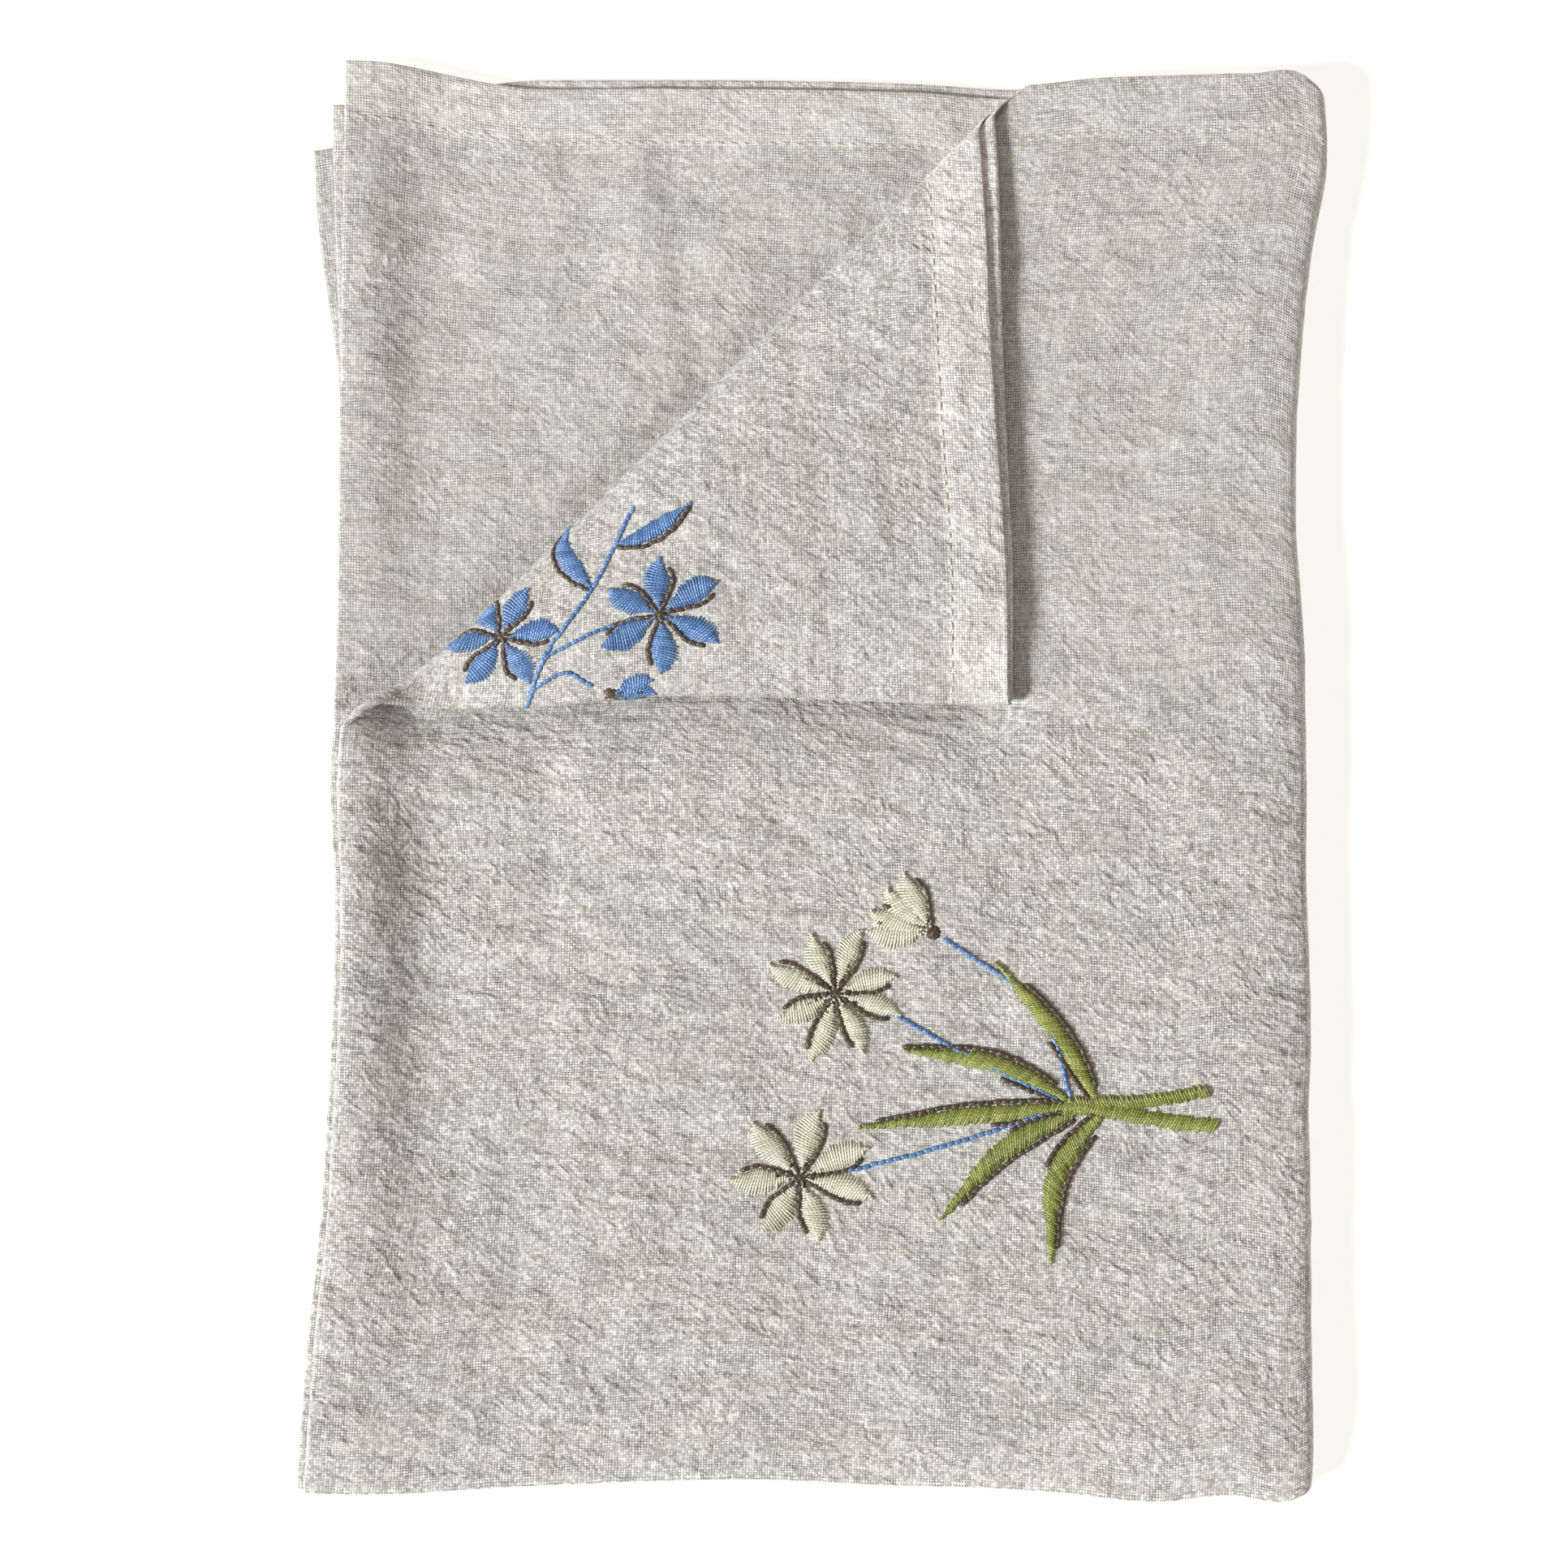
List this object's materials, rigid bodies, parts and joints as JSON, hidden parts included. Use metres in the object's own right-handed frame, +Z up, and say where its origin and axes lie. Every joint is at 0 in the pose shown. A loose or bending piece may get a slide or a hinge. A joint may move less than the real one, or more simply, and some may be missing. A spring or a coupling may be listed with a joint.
{
  "type": "folded tea towel",
  "caption": "Oatmeal cotton and linen tea towel, folded flat in layers with one corner turned down; hemmed long edges and embroidered flower sprigs.",
  "frame": {"origin": "centre of the bounding box, at the underside that rests on the table", "axes": "+X from the left crease to the fat right fold, +Y from the bottom crease to the hems, +Z up out of the stack"},
  "size_m": [0.1809, 0.253, 0.0154],
  "materials": {
    "cloth": "matte plain-woven cotton and linen, crinkled, oatmeal with darker flecks",
    "hem_thread": "matte cotton sewing thread",
    "green_thread": "glossy embroidery thread, olive to lime green",
    "cream_thread": "glossy embroidery thread, cream",
    "brown_thread": "embroidery thread, dark brown",
    "blue_thread": "glossy embroidery thread, cornflower blue"
  },
  "bodies": {
    "root": {"towel": "cloth"}
  },
  "joints": []
}
